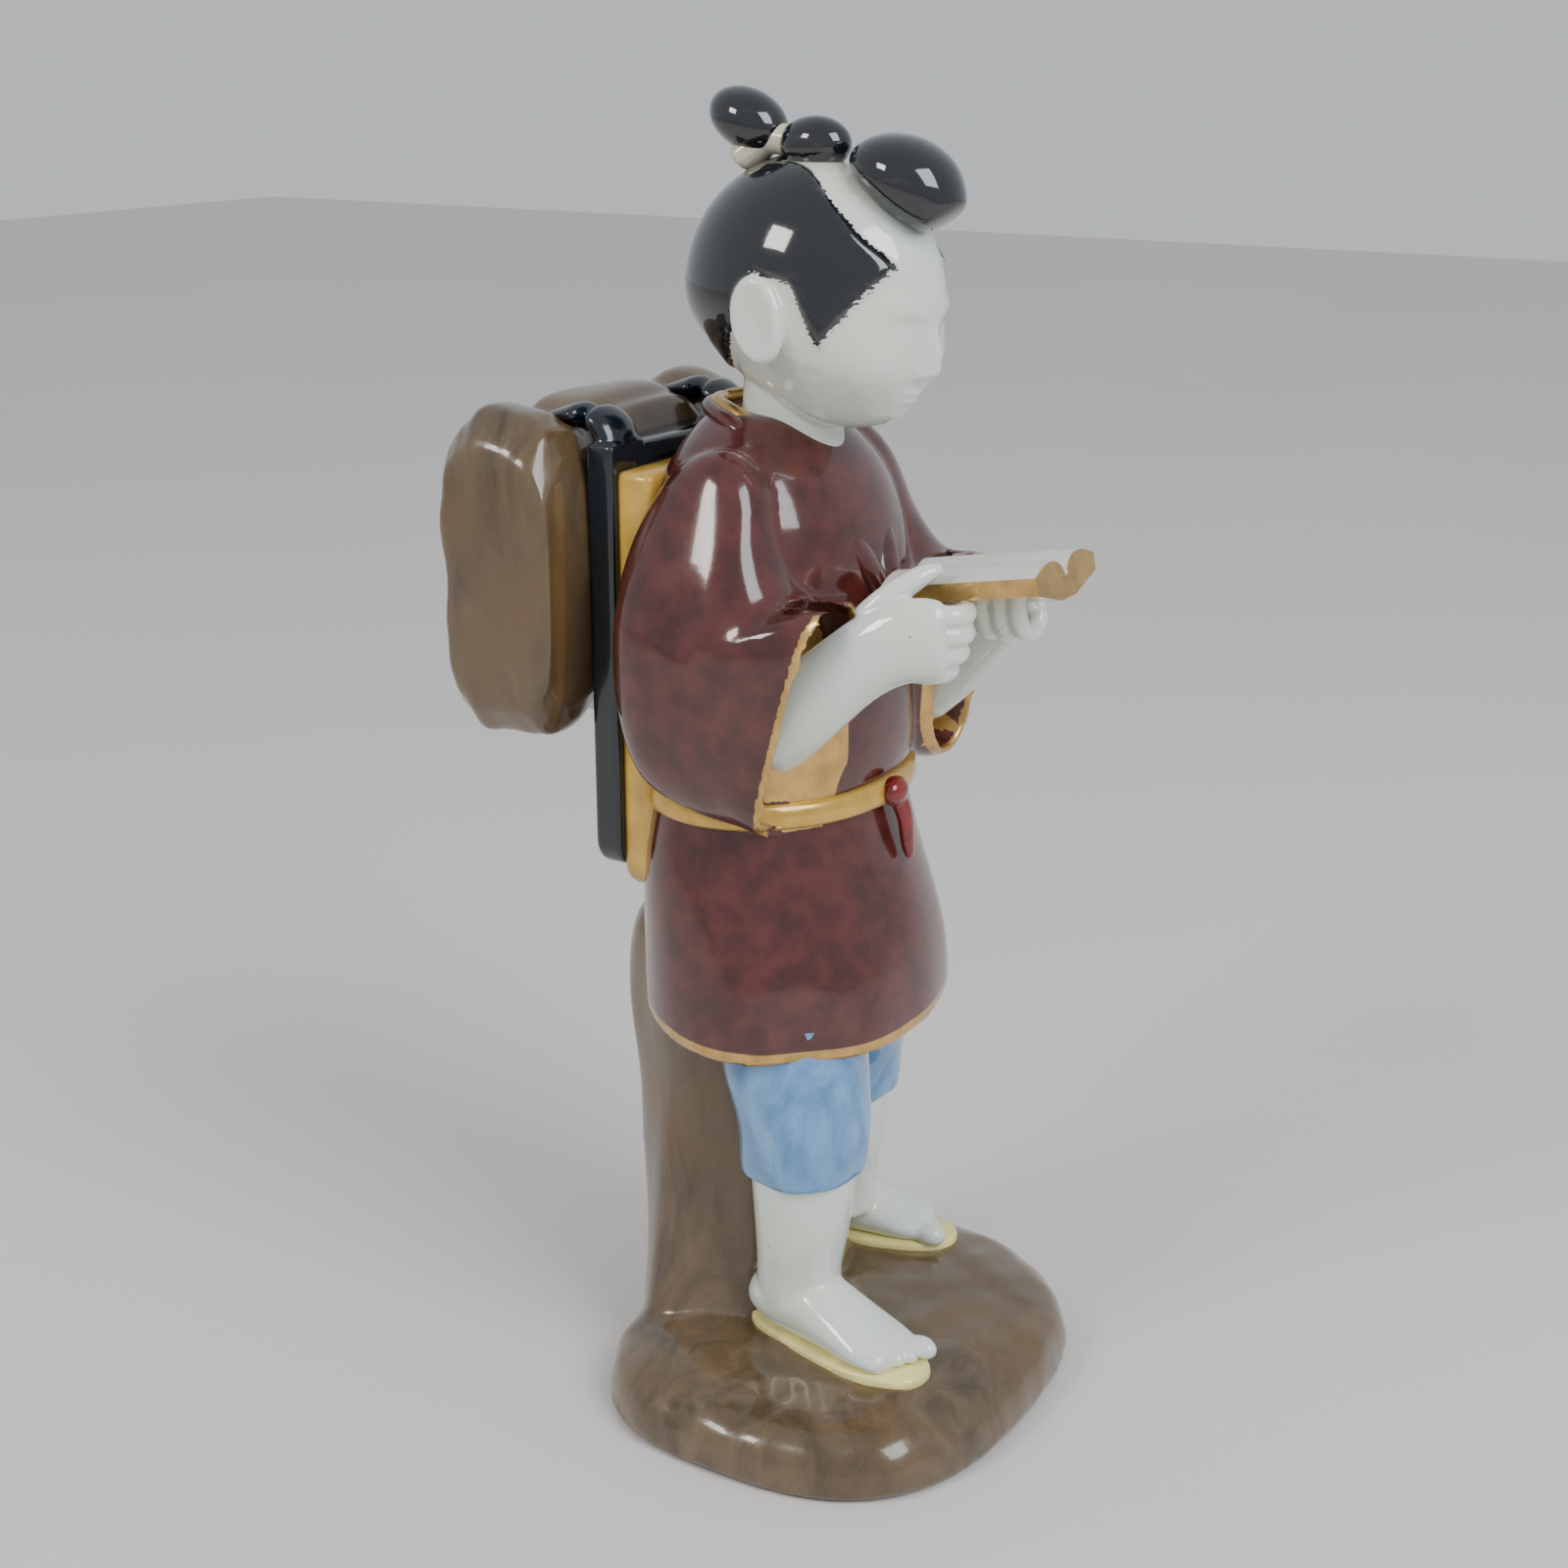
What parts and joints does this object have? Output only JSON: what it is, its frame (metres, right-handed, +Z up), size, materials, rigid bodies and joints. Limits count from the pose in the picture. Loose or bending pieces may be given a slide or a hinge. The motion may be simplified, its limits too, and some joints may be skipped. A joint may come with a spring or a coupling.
{
  "type": "porcelain figurine",
  "caption": "Standing porcelain youth in a short patterned robe reads an open book, a firewood load on his back, on a mound with a stump behind the legs.",
  "frame": {"origin": "centre of the bounding box of the whole figurine in plan, on the surface that the mound stands on", "axes": "+Z up along the standing figure, -Y the way he faces, -X towards his right hand"},
  "size_m": [0.1199, 0.1404, 0.3119],
  "materials": {
    "robe_glaze": "glossy dark maroon enamel over porcelain",
    "skin_glaze": "glossy pale celadon glaze",
    "hair_glaze": "glossy black glaze",
    "gold_lustre": "burnished gold over the glaze",
    "trouser_glaze": "mottled blue glaze",
    "earth_glaze": "olive-brown glaze, brushed on",
    "straw_glaze": "pale yellow enamel of the sandals and the woven pad",
    "frame_glaze": "glossy blue-black glaze of the carrying frame",
    "slip_enamel": "raised trailed slip and enamel, glossy"
  },
  "bodies": {
    "root": {"figurine": "robe_glaze"}
  },
  "joints": []
}
